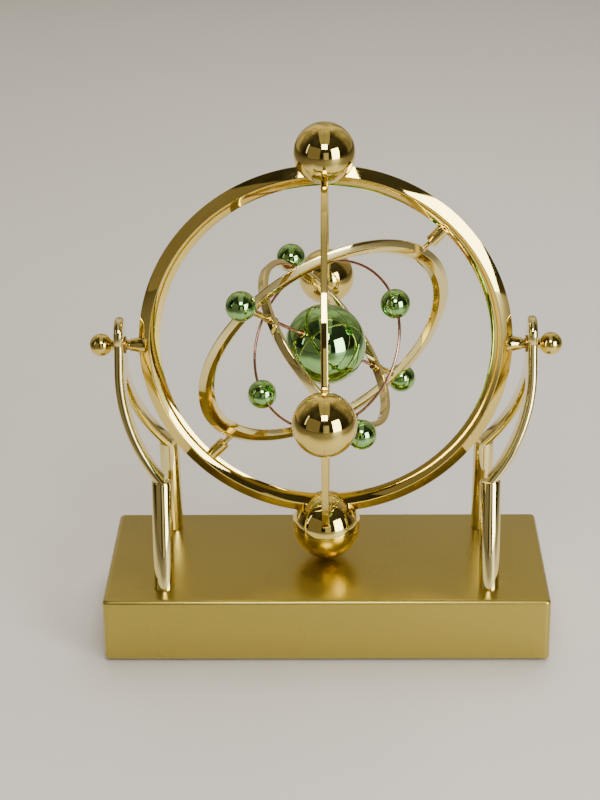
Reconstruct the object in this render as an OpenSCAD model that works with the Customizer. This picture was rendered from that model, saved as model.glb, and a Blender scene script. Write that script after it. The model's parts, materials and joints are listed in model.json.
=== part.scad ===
// Electric orbit sculpture: a coil in the base keeps a nest of gimbal rings swinging.
// The origin is on the table, under the middle of the model. X is left to right,
// -Y faces the viewer and +Z is up. All sizes are millimetres.

/* [Base] */
// Width of the base, left to right
base_w = 211; // [206:1:230]
// Depth of the base, front to back
base_d = 93.2; // [90:0.1:110]
// Height of the base's top face above the table
base_top = 32.3; // [31:0.1:36]
// Thickness of the base's walls and top
wall = 2.4; // [2:0.2:2.8]
// Radius of the base's rounded edges
edge_r = 1.8; // [1:0.2:2]
// Height of the rubber feet below the base
foot_h = 1; // [0.8:0.1:1.5]

/* [Stands] */
// Height of the main axle above the base's top face
axle_h = 111.2; // [111:0.1:120]
// Distance of each stand's plate from the middle
stand_x = 96.3; // [95.5:0.1:96.6]
// Thickness of the stand's plate and arms
stand_t = 4.4; // [3.6:0.1:4.8]
// Radius of the stand's rounded head
head_r = 8.5; // [7:0.1:10]
// Height of the centre of the rounded head above the axle
head_up = 5; // [3:0.5:8]
// Distance of each post from the middle, left and right
post_x = 77; // [75:0.5:78]
// Distance of each post's foot from the middle, front and back
post_foot_y = 32; // [30:0.5:33]
// Distance of each post's top from the middle, front and back
post_top_y = 23.5; // [22:0.5:26]
// Length of the posts, measured upright
post_h = 51.7; // [50:0.1:56]
// Radius of the posts
post_r = 4.9; // [4.5:0.1:5.5]
// Depth of the fork below the axle
fork_drop = 18; // [16:1:24]

/* [Outer gimbal] */
// Outer radius of the main ring, at its edge
ring_out = 87.6; // [86:0.1:88]
// Inner radius of the main ring, at its edge
ring_in = 77.3; // [77:0.1:79]
// Width of the main ring along its own axis
ring_w = 5.4; // [4:0.2:6]
// Width of the cross hoops, seen from the front
hoop_w = 3.1; // [2.4:0.1:3.6]
// Distance of the three plain balls from the axle
ball_at = 92.8; // [92:0.1:94]
// Radius of the three plain balls
ball_r = 14.1; // [13:0.1:14.5]
// Distance of the weighted bottom ball from the axle
low_ball_at = 94; // [93:0.1:94]
// Radius of the weighted bottom ball
low_ball_r = 16.5; // [15:0.1:16.5]
// Distance of the small end balls from the middle
end_ball_at = 105.2; // [105.2:0.1:107]
// Radius of the small end balls
end_ball_r = 5.35; // [4.5:0.05:5.35]
// Radius of the main axle
axle_r = 2.35; // [2:0.05:2.6]

/* [Inner rings] */
// Angle of the orbit ring's axis above level
orbit_tilt = 46; // [44:1:50]
// Turn of the orbit ring about its axis
orbit_turn = 49.3; // [0:0.1:90]
// Turn of the inner ring about the planet rod
inner_turn = 11.1; // [0:0.1:90]
// Outer radius of the orbit ring, at its edge
orbit_out = 66; // [65.4:0.1:66.4]
// Inner radius of the orbit ring, at its edge
orbit_in = 57.9; // [57.9:0.1:58.4]
// Width of the orbit ring along its own axis
orbit_w = 3.8; // [3:0.2:4.4]
// Middle radius of the inner ring
inner_r = 44.6; // [44.4:0.1:45]
// Width of the inner ring's band
inner_w = 4.2; // [3.6:0.2:5]
// Radius of the wire ring, to the middle of its wire
wire_ring_r = 40.6; // [40:0.1:40.7]
// Radius of the wire itself
wire_r = 0.65; // [0.5:0.05:0.8]
// Radius of the small spheres
small_r = 6.9; // [6:0.1:7]
// Distance of the planets from the middle
planet_at = 68; // [67.5:0.1:68.2]
// Distance of the moons from the middle
moon_at = 50.6; // [50.2:0.1:50.6]
// Radius of the central sphere
core_r = 18.9; // [16:0.1:20]

/* [Hidden] */

$fn = 96;
eps = 0.01;
cut = 1;                   // reach of a cutting shape beyond the solid it cuts
run_gap = 0.05;            // radial clearance of a running fit
axle_z = base_top + axle_h;

// Base
shell_z = foot_h;
roof_z = base_top - wall;
inside_w = base_w - 2 * wall;
inside_d = base_d - 2 * wall;
plate_gap = 0.2;
plate_t = 3;
plate_top = shell_z + plate_t;
foot_r = 6;
foot_sink = 0.6;
foot_at = [84, 35.6];
plate_screw_r = 1.4;
plate_screw_len = 13;
screw_head_r = 3;
screw_head_h = 1.6;
screw_sink = 0.2;
driver_slot = [4, 0.6, 1];
screw_boss_r = 3.6;
plate_screw_at = [96, 38.5];
post_screw_r = 2;
post_screw_head_r = 3.6;
post_screw_head_h = 2.6;
post_screw_grip = 12;
post_boss_r = 6;
post_boss_h = 4;

// Battery compartment
cell_r = 7.15;
cell_len = 50;
cell_pitch = 14.8;
cell_count = 3;
tray_x = 21;
tray_wall = 1.5;
tray_room = [58.5, 46, 15.4];
tray_sill = [1.5, 0.6];
contact_t = 0.4;
contact_plate = [contact_t, 11, 9];
spring_r = 3.2;
spring_turn_r = 0.5;
spring_turns = 3;
spring_room = 3.6;
cell_lift = 0.3;
cell_x = tray_x + tray_wall + spring_room;
cell_z = plate_top + cell_lift + cell_r;
door_len = 60;
door_half = 26.8;
door_tongue = 2.2;
door_low = shell_z + 0.1;
door_step = shell_z + 0.95;
door_high = shell_z + 1.45;
door_play = 0.2;
door_travel = 12;
door_x = tray_x + 1;
door_grip = [1.2, 16, 0.6];
door_grip_at = 6;
door_grip_count = 5;

// Circuit
board = [48, 42, 1.6];
board_at = [-69, -21, 12];
board_post_r = 2.5;
board_inset = 4;
transistor = [10, 5, 4];
transistor_at = [10, 12, 0];
capacitor_r = 4;
capacitor_h = 9;
capacitor_at = [22, 30, 0];
chip = [7, 6, 2];
chip_at = [26, 12, 0];
resistor_r = 1;
resistor_len = 6;
resistor_x = 36;
resistor_ys = [26, 31];
coil_r = 17;
coil_flange_r = 19;
coil_core_r = 4;
coil_h = 12;
flange_t = 1.2;
coil_core_drop = 1;
bobbin_wall = 1;
lead_r = 0.7;
lead_lap = 5;
battery_lead_y = 6;
coil_lead_y = 3;
coil_lead_x = -14;

// Power switch, in the back wall
switch_x = -45;
switch_z = 16;
switch_box = [20, 7, 8];
knob = [3.6, 8.4, 3.4];
knob_travel = 3.2;
knob_gap = 0.4;
knob_inside = 5;
switch_floor = 1.4;

// Stands
head_top = head_up + head_r;
bend_drop = 10;
bend_r = 74;
arm_drop = 61;
fork_r = 3;
bush_r = 3.2;
bush_flange_r = 4;
bush_flange_t = 0.8;
post_lean = atan((post_foot_y - post_top_y) / post_h);
post_top = axle_h - post_h;

// Outer gimbal
ring_mid = (ring_out + ring_in) / 2;
ring_flat = 0.25;
hoop_in = 79.4;
hoop_out = 86;
chamfer = 0.4;
boss_r = 4;
boss_end = 91.5;
boss_end_r = 2.9;
axle_end = end_ball_at + 2;
socket_r = 2.9;
socket_in = 70;
pivot_r = 1.2;
pivot_in = 61;
pivot_out = 75;
pivot_end_gap = 0.4;
magnet_r = 6;
magnet_h = 10;

// Inner rings
orbit_bevel_in = 2.3;
orbit_bevel_out = 2.6;
inner_t = 3.2;
inner_chamfer = 0.8;
rod_r = 0.8;
rod_end = 71;
spacer_r = 1.5;
collar_r = 2;
collar_len = 1.4;
collar_play = 0.3;
moon_pin_r = 0.8;
moon_pin_in = 39.4;
moon_pin_out = 49;
wire_eye_r = 1.7;
bead_turn = 4.5;

// Colours
gold = "#d4a82f";
pale_gold = "#e3c878";
paint_gold = "#a8924a";
green = "#4f9a3c";
copper = "#9c5a48";
brown = "#3a3428";
black = "#1c1c1c";
steel = "silver";

// ---- Frames of the moving bodies ------------------------------------------

module gimbal_frame() {
    translate([0, 0, axle_z]) children();
}

// Local X is the orbit ring's axis and local -Y is the planet rod.
module orbit_frame() {
    gimbal_frame() rotate([0, -orbit_tilt, 0]) rotate([-orbit_turn, 0, 0]) children();
}

// Local Y stays the planet rod, local Z is the moons' axis and X is the ring's normal.
module inner_frame() {
    orbit_frame() rotate([0, inner_turn, 0]) children();
}

// ---- Shared shapes ---------------------------------------------------------

// A block that stands on z0, with rounded upright edges and rounded top edges.
module rounded_block(w, d, z0, z1, r) {
    side_h = z1 - r - z0;
    for (size = [[w - 2 * r, d], [w, d - 2 * r]])
        translate([-size.x / 2, -size.y / 2, z0]) cube([size.x, size.y, side_h]);
    translate([-w / 2 + r, -d / 2 + r, z0]) cube([w - 2 * r, d - 2 * r, z1 - z0]);
    for (x = [-1, 1], y = [-1, 1]) translate([x * (w / 2 - r), y * (d / 2 - r), z0]) {
        cylinder(r = r, h = side_h);
        translate([0, 0, side_h]) sphere(r);
    }
    for (y = [-1, 1]) translate([-w / 2 + r, y * (d / 2 - r), z1 - r])
        rotate([0, 90, 0]) cylinder(r = r, h = w - 2 * r);
    for (x = [-1, 1]) translate([x * (w / 2 - r), d / 2 - r, z1 - r])
        rotate([90, 0, 0]) cylinder(r = r, h = d - 2 * r);
}

// A cylinder along local X from one distance to another.
module rod_x(r, from, to) {
    translate([from, 0, 0]) rotate([0, 90, 0]) cylinder(r = r, h = to - from);
}

// A cylinder along local Y from one distance to another.
module rod_y(r, from, to) {
    translate([0, from, 0]) rotate([-90, 0, 0]) cylinder(r = r, h = to - from);
}

module rod_z(r, from, to) {
    translate([0, 0, from]) cylinder(r = r, h = to - from);
}

// A hoop about local Z with chamfered edges.
module band(r_in, r_out, w, c) {
    rotate_extrude($fn = 180) polygon([
        [r_in, -w / 2 + c], [r_in + c, -w / 2], [r_out - c, -w / 2], [r_out, -w / 2 + c],
        [r_out, w / 2 - c], [r_out - c, w / 2], [r_in + c, w / 2], [r_in, w / 2 - c]
    ]);
}

module at_corners(at) {
    for (x = [-1, 1], y = [-1, 1]) translate([x * at.x, y * at.y, 0]) children();
}

module at_plate_screws() {
    at_corners(plate_screw_at) children();
    for (y = [-1, 1]) translate([0, y * plate_screw_at.y, 0]) children();
}

// ---- Base ------------------------------------------------------------------

module base_shell() {
    color(paint_gold) difference() {
        union() {
            difference() {
                rounded_block(base_w, base_d, shell_z, base_top, edge_r);
                translate([-inside_w / 2, -inside_d / 2, shell_z - cut])
                    cube([inside_w, inside_d, roof_z - shell_z + cut]);
            }
            at_plate_screws() rod_z(screw_boss_r, plate_top, roof_z + eps);
            at_corners([post_x, post_foot_y]) rod_z(post_boss_r, roof_z - post_boss_h, roof_z + eps);
        }
        at_plate_screws() rod_z(plate_screw_r, plate_top - cut, shell_z + plate_screw_len);
        at_corners([post_x, post_foot_y])
            rod_z(post_screw_r, roof_z - post_boss_h - cut, base_top + cut);
        translate([switch_x - knob.x / 2 - knob_gap, inside_d / 2 - cut,
                switch_z - knob.z / 2 - knob_gap])
            cube([knob.x + knob_travel + 2 * knob_gap, wall + 2 * cut, knob.z + 2 * knob_gap]);
    }
}

// The recess holds the door, and its wider upper part takes the door's tongues.
module door_recess() {
    length = door_len + door_travel + 2 * door_play;
    low_half = door_half + door_play;
    high_half = low_half + door_tongue;
    translate([door_x - door_play, -low_half, shell_z - cut])
        cube([length, 2 * low_half, door_high + door_play - shell_z + cut]);
    translate([door_x - door_play, -high_half, door_step - door_play])
        cube([length, 2 * high_half, door_high - door_step + 2 * door_play]);
}

module base_plate() {
    size = [inside_w - 2 * plate_gap, inside_d - 2 * plate_gap];
    color(brown) difference() {
        union() {
            translate([-size.x / 2, -size.y / 2, shell_z]) cube([size.x, size.y, plate_t]);
            at_board_posts() rod_z(board_post_r, plate_top - eps, board_at.z);
        }
        at_plate_screws() {
            rod_z(plate_screw_r, 0, plate_top + cut);
            rod_z(screw_head_r, 0, shell_z + screw_sink + screw_head_h);
        }
        at_corners(foot_at) rod_z(foot_r, 0, foot_h + foot_sink);
        door_recess();
        translate([tray_x + tray_wall + tray_sill.x, -tray_room.y / 2 + tray_sill.y, 0])
            cube([tray_room.x - 2 * tray_sill.x, tray_room.y - 2 * tray_sill.y, plate_top + cut]);
    }
}

module rubber_feet() {
    color(black) at_corners(foot_at) rod_z(foot_r, 0, foot_h + foot_sink);
}

module plate_screws() {
    head_low = shell_z + screw_sink;
    color(steel) at_plate_screws() difference() {
        union() {
            rod_z(screw_head_r, head_low, head_low + screw_head_h);
            rod_z(plate_screw_r, shell_z + screw_head_h, shell_z + plate_screw_len);
        }
        for (a = [0, 90]) rotate([0, 0, a])
            translate([-driver_slot.x / 2, -driver_slot.y / 2, shell_z]) cube(driver_slot);
    }
}

module post_screws() {
    bottom = roof_z - post_boss_h;
    color(steel) at_corners([post_x, post_foot_y]) {
        rod_z(post_screw_head_r, bottom - post_screw_head_h, bottom);
        rod_z(post_screw_r, bottom - eps, base_top + post_screw_grip);
    }
}

// ---- Battery compartment ---------------------------------------------------

module battery_tray() {
    size = [tray_room.x + 2 * tray_wall, tray_room.y + 2 * tray_wall, tray_room.z + tray_wall];
    color(black) translate([tray_x, -size.y / 2, plate_top]) difference() {
        cube(size);
        translate([tray_wall, tray_wall, -cut]) cube([tray_room.x, tray_room.y, tray_room.z + cut]);
    }
}

module at_cells() {
    for (i = [0 : cell_count - 1])
        translate([cell_x, (i - (cell_count - 1) / 2) * cell_pitch, cell_z]) children();
}

module batteries() {
    cap_r = 2.7;
    cap_len = 1.4;
    color("#c8862a") at_cells() {
        rod_x(cell_r, 0, cell_len - cap_len);
        rod_x(cap_r, cell_len - cap_len - eps, cell_len);
    }
}

// A flat plate meets each cell's cap, and a spring of stacked rings presses on its other end.
module battery_contacts() {
    wall_x = tray_x + tray_wall;
    far_x = wall_x + tray_room.x;
    cap_x = cell_x + cell_len;
    step = (cell_x - wall_x - contact_t) / spring_turns;
    color(steel) at_cells() {
        translate([wall_x - cell_x, -contact_plate.y / 2, -contact_plate.z / 2]) cube(contact_plate);
        translate([cap_x - cell_x, -contact_plate.y / 2, -contact_plate.z / 2]) cube(contact_plate);
        translate([cap_x - cell_x + contact_t - eps, -contact_plate.y / 4, -contact_plate.z / 4])
            cube([far_x - cap_x - contact_t + eps, contact_plate.y / 2, contact_plate.z / 2]);
        for (i = [0 : spring_turns - 1])
            rod_x(spring_r - i * spring_turn_r, wall_x - cell_x + contact_t + i * step - eps,
                wall_x - cell_x + contact_t + (i + 1) * step);
    }
}

module battery_door() {
    color(brown) difference() {
        union() {
            translate([door_x, -door_half, door_low])
                cube([door_len, 2 * door_half, door_high - door_low]);
            translate([door_x, -door_half - door_tongue, door_step])
                cube([door_len, 2 * (door_half + door_tongue), door_high - door_step]);
        }
        for (i = [0 : door_grip_count - 1])
            translate([door_x + door_grip_at + i * 2 * door_grip.x, -door_grip.y / 2, door_low - eps])
                cube(door_grip);
    }
}

// ---- Drive circuit -----------------------------------------------------------

module at_board_posts() {
    for (x = [board_inset, board.x - board_inset], y = [board_inset, board.y - board_inset])
        translate([board_at.x + x, board_at.y + y, 0]) children();
}

module circuit_board() {
    color("#1f6b3a") translate(board_at) cube(board);
}

// Transistor, capacitor, sensing chip and two resistors on the board.
module board_components() {
    color(black) translate([board_at.x, board_at.y, board_at.z + board.z]) {
        translate(transistor_at) cube(transistor);
        translate(capacitor_at) cylinder(r = capacitor_r, h = capacitor_h);
        translate(chip_at) cube(chip);
        for (y = resistor_ys) translate([resistor_x, y, resistor_r]) rod_x(resistor_r, 0, resistor_len);
    }
}

module lead_wires() {
    board_top = board_at.z + board.z;
    board_end = board_at.x + board.x;
    color("#b03030") {
        for (side = [-1, 1]) {
            translate([0, side * battery_lead_y, board_top + lead_r])
                rod_x(lead_r, board_end - lead_lap, tray_x);
            translate([coil_lead_x, side * coil_lead_y, 0])
                rod_z(lead_r, board_top + lead_r, roof_z - coil_h);
            translate([0, side * coil_lead_y, board_top + lead_r])
                rod_x(lead_r, board_end - lead_lap, coil_lead_x);
        }
    }
}

module coil_bobbin() {
    color("#e8e2d0") difference() {
        union() {
            rod_z(coil_flange_r, roof_z - coil_h, roof_z - coil_h + flange_t);
            rod_z(coil_flange_r, roof_z - flange_t, roof_z);
            rod_z(coil_core_r + bobbin_wall, roof_z - coil_h, roof_z);
        }
        rod_z(coil_core_r, roof_z - coil_h - cut, roof_z + cut);
    }
}

module coil_winding() {
    color("#b5651d") difference() {
        rod_z(coil_r, roof_z - coil_h + flange_t, roof_z - flange_t);
        rod_z(coil_core_r + bobbin_wall, 0, base_top);
    }
}

module coil_core() {
    color(steel) rod_z(coil_core_r, roof_z - coil_h - coil_core_drop, roof_z);
}

module switch_body() {
    back = inside_d / 2;
    room = [knob.x + knob_travel + 2 * knob_gap, switch_box.y, knob.z + 2 * knob_gap];
    color(black) translate([switch_x + knob_travel / 2, 0, switch_z]) difference() {
        translate([-switch_box.x / 2, back - switch_box.y, -switch_box.z / 2]) cube(switch_box);
        translate([-room.x / 2, back - switch_box.y + switch_floor, -room.z / 2]) cube(room);
    }
}

module switch_slider() {
    color(black) translate([switch_x - knob.x / 2, inside_d / 2 - knob_inside, switch_z - knob.z / 2])
        cube(knob);
}

// ---- Stands ------------------------------------------------------------------

// The stand seen from the side: a round head that opens into a fork.
module stand_side() {
    foot_out = post_top_y + post_r;
    foot_in = post_top_y - post_r;
    difference() {
        union() {
            translate([0, head_up]) circle(head_r);
            polygon([[-head_r, head_up], [head_r, head_up], [foot_out, -post_top], [foot_out, -arm_drop],
                [-foot_out, -arm_drop], [-foot_out, -post_top]]);
        }
        translate([0, -fork_drop - fork_r]) circle(fork_r);
        polygon([[-fork_r, -fork_drop - fork_r], [fork_r, -fork_drop - fork_r],
            [foot_in, -post_top], [foot_in, -arm_drop - cut], [-foot_in, -arm_drop - cut],
            [-foot_in, -post_top]]);
    }
}

// The stand seen from the front: upright at the axle, then curving in towards the posts.
module stand_front() {
    translate([stand_x - stand_t / 2, -bend_drop]) square([stand_t, bend_drop + head_top + cut]);
    intersection() {
        translate([stand_x - bend_r, -bend_drop]) difference() {
            circle(bend_r + stand_t / 2, $fn = 180);
            circle(bend_r - stand_t / 2, $fn = 180);
        }
        translate([post_x - 2 * post_r, -arm_drop]) square([stand_x, arm_drop - bend_drop]);
    }
}

module post() {
    translate([post_x, post_foot_y, 0]) difference() {
        intersection() {
            translate([0, 0, base_top]) rotate([post_lean, 0, 0])
                rod_z(post_r, -2 * post_r, post_h / cos(post_lean));
            translate([-2 * post_r, -4 * post_r, base_top]) cube([4 * post_r, 6 * post_r, 2 * post_h]);
        }
        rod_z(post_screw_r, 0, base_top + post_screw_grip);
    }
}

module stand() {
    color(pale_gold) {
        difference() {
            gimbal_frame() intersection() {
                rotate([90, 0, 90]) linear_extrude(2 * stand_x) stand_side();
                translate([0, stand_x / 2, 0]) rotate([90, 0, 0]) linear_extrude(stand_x) stand_front();
            }
            gimbal_frame() rod_x(bush_r, stand_x - stand_t, stand_x + stand_t);
        }
        post();
        mirror([0, 1, 0]) post();
    }
}

module bush() {
    inner_face = stand_x - stand_t / 2;
    color("#8a6a1c") gimbal_frame() difference() {
        union() {
            rod_x(bush_r, inner_face - eps, stand_x + stand_t / 2);
            rod_x(bush_flange_r, inner_face - bush_flange_t, inner_face);
        }
        rod_x(axle_r + run_gap, inner_face - stand_t, stand_x + stand_t);
    }
}

module left_stand() { mirror([1, 0, 0]) stand(); }
module right_stand() { stand(); }
module left_bush() { mirror([1, 0, 0]) bush(); }
module right_bush() { bush(); }

// ---- Outer gimbal --------------------------------------------------------------

// The main ring's section is a diamond with small flats at its four corners.
module main_ring_solid() {
    rotate([90, 0, 0]) rotate_extrude($fn = 240) polygon([
        [ring_in, -ring_flat], [ring_mid - ring_flat, -ring_w / 2], [ring_mid + ring_flat, -ring_w / 2],
        [ring_out, -ring_flat], [ring_out, ring_flat], [ring_mid + ring_flat, ring_w / 2],
        [ring_mid - ring_flat, ring_w / 2], [ring_in, ring_flat]
    ]);
}

module main_ring() {
    color(gold) gimbal_frame() main_ring_solid();
}

module hoop_solid() {
    rotate([0, 90, 0]) band(hoop_in, hoop_out, hoop_w, chamfer);
}

// One half hoop in front of the main ring or behind it, with its ends fitted to the ring.
module half_hoop(side) {
    reach = ring_out + cut;
    color(gold) gimbal_frame() difference() {
        intersection() {
            hoop_solid();
            translate([-reach, side > 0 ? 0 : -reach, -reach]) cube([2 * reach, reach, 2 * reach]);
        }
        main_ring_solid();
    }
}

module front_hoop() { half_hoop(-1); }
module back_hoop() { half_hoop(1); }

// A ball that is slotted over the ring or the hoop it sits on.
module gimbal_ball(at, r) {
    color(gold) gimbal_frame() difference() {
        translate(at) sphere(r);
        main_ring_solid();
        hoop_solid();
    }
}

module top_ball() { gimbal_ball([0, 0, ball_at], ball_r); }
module front_ball() { gimbal_ball([0, -ball_at, 0], ball_r); }
module back_ball() { gimbal_ball([0, ball_at, 0], ball_r); }

module magnet_solid() {
    translate([0, 0, -low_ball_at - magnet_h]) cylinder(r = magnet_r, h = magnet_h);
}

// The bottom ball comes apart at its middle, so that the magnet can go in.
module bottom_ball_upper() {
    intersection() {
        gimbal_ball([0, 0, -low_ball_at], low_ball_r);
        gimbal_frame() translate([-low_ball_r, -low_ball_r, -low_ball_at]) cube(2 * low_ball_r);
    }
}

module bottom_ball_lower() {
    color(gold) gimbal_frame() difference() {
        translate([0, 0, -low_ball_at]) sphere(low_ball_r);
        translate([-low_ball_r, -low_ball_r, -low_ball_at]) cube(2 * low_ball_r);
        magnet_solid();
    }
}

module drive_magnet() {
    color("#9a9a9a") gimbal_frame() magnet_solid();
}

module axle() {
    color(gold) gimbal_frame() difference() {
        union() {
            translate([ring_mid, 0, 0]) rotate([0, 90, 0])
                cylinder(r1 = boss_r, r2 = boss_end_r, h = boss_end - ring_mid);
            rod_x(axle_r, boss_end - eps, axle_end);
        }
        main_ring_solid();
    }
}

module end_ball() {
    color(gold) gimbal_frame() difference() {
        translate([end_ball_at, 0, 0]) rotate([0, 90, 0]) sphere(end_ball_r);
        rod_x(axle_r, ring_out, axle_end);
    }
}

module left_axle() { mirror([1, 0, 0]) axle(); }
module right_axle() { axle(); }
module left_end_ball() { mirror([1, 0, 0]) end_ball(); }
module right_end_ball() { end_ball(); }

// A socket inside the main ring that one pivot of the orbit ring runs in.
module socket(side) {
    color(gold) gimbal_frame() difference() {
        rotate([0, -orbit_tilt, 0]) mirror([side > 0 ? 0 : 1, 0, 0]) difference() {
            rod_x(socket_r, socket_in, ring_mid - ring_w / 2);
            rod_x(pivot_r + run_gap, socket_in - cut, pivot_out + pivot_end_gap);
        }
        main_ring_solid();
    }
}

module upper_socket() { socket(1); }
module lower_socket() { socket(-1); }

// ---- Orbit ring ------------------------------------------------------------------

// The orbit ring lies in its frame's XY plane, through its axis and the planet rod.
// It is a flat ring, bevelled to a narrow edge inside and outside.
module orbit_band() {
    rotate_extrude($fn = 240) polygon([
        [orbit_in, -ring_flat], [orbit_in + orbit_bevel_in, -orbit_w / 2],
        [orbit_out - orbit_bevel_out, -orbit_w / 2], [orbit_out, -ring_flat],
        [orbit_out, ring_flat], [orbit_out - orbit_bevel_out, orbit_w / 2],
        [orbit_in + orbit_bevel_in, orbit_w / 2], [orbit_in, ring_flat]
    ]);
}

module orbit_ring() {
    color(pale_gold) orbit_frame() difference() {
        orbit_band();
        for (side = [0, 1]) mirror([side, 0, 0]) rod_x(pivot_r, pivot_in, ring_in);
        rod_y(rod_r, -ring_in, ring_in);
    }
}

module pivot(side) {
    color(gold) orbit_frame() mirror([side > 0 ? 0 : 1, 0, 0]) rod_x(pivot_r, pivot_in, pivot_out);
}

module upper_pivot() { pivot(1); }
module lower_pivot() { pivot(-1); }

// A planet is slotted over the orbit ring and capped on the end of the rod.
module planet(side) {
    color(green) orbit_frame() difference() {
        translate([0, side * planet_at, 0]) sphere(small_r);
        orbit_band();
        rod_y(rod_r, -rod_end, rod_end);
    }
}

module near_planet() { planet(-1); }
module far_planet() { planet(1); }

module planet_rod() {
    color(copper) orbit_frame() rod_y(rod_r, -rod_end, rod_end);
}

module tube_on_rod(r, from, to) {
    for (side = [0, 1]) mirror([0, side, 0]) difference() {
        rod_y(r, from, to);
        rod_y(rod_r, from - cut, to + cut);
    }
}

// A spacer on each side fills the rod from the inner ring's outer collar to the orbit ring.
module rod_spacers() {
    collar_end = inner_r + inner_t / 2 + collar_play + collar_len;
    color(gold) orbit_frame() difference() {
        tube_on_rod(spacer_r, collar_end, orbit_in + cut);
        orbit_band();
    }
}

// Collars keep the central sphere and the inner ring in their places along the rod.
module rod_collars() {
    inner_face = inner_r - inner_t / 2 - collar_play;
    outer_face = inner_r + inner_t / 2 + collar_play;
    color(gold) orbit_frame() {
        tube_on_rod(collar_r, core_r + collar_play, core_r + collar_play + collar_len);
        tube_on_rod(collar_r, inner_face - collar_len, inner_face);
        tube_on_rod(collar_r, outer_face, outer_face + collar_len);
    }
}

module core_sphere() {
    color(green) orbit_frame() difference() {
        sphere(core_r);
        rod_y(rod_r + run_gap, -core_r - cut, core_r + cut);
    }
}

// ---- Inner ring --------------------------------------------------------------------

module inner_band() {
    rotate([0, 90, 0])
        band(inner_r - inner_t / 2, inner_r + inner_t / 2, inner_w, inner_chamfer);
}

module inner_ring() {
    color(pale_gold) inner_frame() difference() {
        inner_band();
        rod_y(rod_r + run_gap, -rod_end, rod_end);
        rod_z(moon_pin_r, -moon_at, moon_at);
    }
}

module moon(side) {
    color(green) inner_frame() difference() {
        translate([0, 0, side * moon_at]) sphere(small_r);
        inner_band();
        rod_z(moon_pin_r, -moon_pin_out, moon_pin_out);
    }
}

module upper_moon() { moon(1); }
module lower_moon() { moon(-1); }

module moon_pins() {
    color(pale_gold) inner_frame() for (side = [0, 1]) mirror([0, 0, side])
        rod_z(moon_pin_r, moon_pin_in, moon_pin_out);
}

// ---- Wire ring ----------------------------------------------------------------------

// The wire ring lies in its frame's XZ plane.
module wire_solid() {
    rotate([90, 0, 0]) rotate_extrude($fn = 180) translate([wire_ring_r, 0]) circle(wire_r, $fn = 32);
}

module wire_ring() {
    color(copper) inner_frame() difference() {
        union() {
            wire_solid();
            for (side = [-1, 1]) translate([0, 0, side * wire_ring_r]) sphere(wire_eye_r);
        }
        rod_z(moon_pin_r + run_gap, -moon_at, moon_at);
    }
}

// The beads sit a few degrees round the wire from square to the moons' axis.
module bead(side) {
    color(green) inner_frame() difference() {
        rotate([0, side * bead_turn, 0]) translate([side * wire_ring_r, 0, 0]) sphere(small_r);
        wire_solid();
    }
}

module right_bead() { bead(1); }
module left_bead() { bead(-1); }

// ---- Nodes ----------------------------------------------------------------------------

base_shell();
base_plate();
rubber_feet();
plate_screws();
post_screws();
battery_tray();
batteries();
battery_contacts();
battery_door();
circuit_board();
board_components();
lead_wires();
coil_bobbin();
coil_winding();
coil_core();
switch_body();
switch_slider();
left_stand();
right_stand();
left_bush();
right_bush();
main_ring();
front_hoop();
back_hoop();
top_ball();
front_ball();
back_ball();
bottom_ball_upper();
bottom_ball_lower();
drive_magnet();
left_axle();
right_axle();
left_end_ball();
right_end_ball();
upper_socket();
lower_socket();
orbit_ring();
upper_pivot();
lower_pivot();
near_planet();
far_planet();
planet_rod();
rod_spacers();
rod_collars();
core_sphere();
inner_ring();
upper_moon();
lower_moon();
moon_pins();
wire_ring();
right_bead();
left_bead();
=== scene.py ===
"""Looks for the gimbal orbit sculpture: mirror gold rings on forked stands over a painted base."""

import json
import math

import bmesh
import bpy
from mathutils import Matrix, Vector


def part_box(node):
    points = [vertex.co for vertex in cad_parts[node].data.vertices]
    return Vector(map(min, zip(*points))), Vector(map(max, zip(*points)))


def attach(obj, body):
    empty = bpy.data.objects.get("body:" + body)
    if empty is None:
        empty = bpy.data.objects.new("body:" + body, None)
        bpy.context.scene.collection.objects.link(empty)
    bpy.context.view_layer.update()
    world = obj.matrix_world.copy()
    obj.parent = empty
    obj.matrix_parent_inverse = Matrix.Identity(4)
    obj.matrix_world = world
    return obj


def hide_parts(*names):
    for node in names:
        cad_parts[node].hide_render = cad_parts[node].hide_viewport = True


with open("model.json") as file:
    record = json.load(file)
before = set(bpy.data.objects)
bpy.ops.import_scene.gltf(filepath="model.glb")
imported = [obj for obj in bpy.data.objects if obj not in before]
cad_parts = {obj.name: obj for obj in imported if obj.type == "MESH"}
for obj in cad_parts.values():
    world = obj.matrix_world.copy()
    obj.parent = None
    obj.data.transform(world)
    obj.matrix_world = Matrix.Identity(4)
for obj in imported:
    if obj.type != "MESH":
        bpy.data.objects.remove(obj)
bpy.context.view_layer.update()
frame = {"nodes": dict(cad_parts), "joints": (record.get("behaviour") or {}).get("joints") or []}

MM = 0.001
ORIGIN, X, Y, Z = Vector((0, 0, 0)), Vector((1, 0, 0)), Vector((0, 1, 0)), Vector((0, 0, 1))

# ---- Places, taken from the frame ----------------------------------------------------------------

JOINTS = {joint["name"]: joint for joint in frame["joints"]}
CENTRE = Vector(JOINTS["gimbal_swing"]["pos_m"])
ORBIT_AXIS = Vector(JOINTS["orbit_ring_turn"]["axis"])
PLANET_AXIS = Vector(JOINTS["core_spin"]["axis"])
MOON_AXIS = Vector(JOINTS["wire_ring_swing"]["axis"])
NORMAL = PLANET_AXIS.cross(MOON_AXIS).normalized()


def about(axis, origin=CENTRE):
    """A frame whose local Z is the axis."""
    z = axis.normalized()
    side = X if abs(z.x) < 0.9 else Y
    x = (side - z * side.dot(z)).normalized()
    turn = Matrix((x, z.cross(x), z)).transposed().to_4x4()
    return Matrix.Translation(origin) @ turn


GIMBAL = Matrix.Translation(CENTRE)
BASE_LOW, BASE_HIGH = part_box("base_shell")

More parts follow.
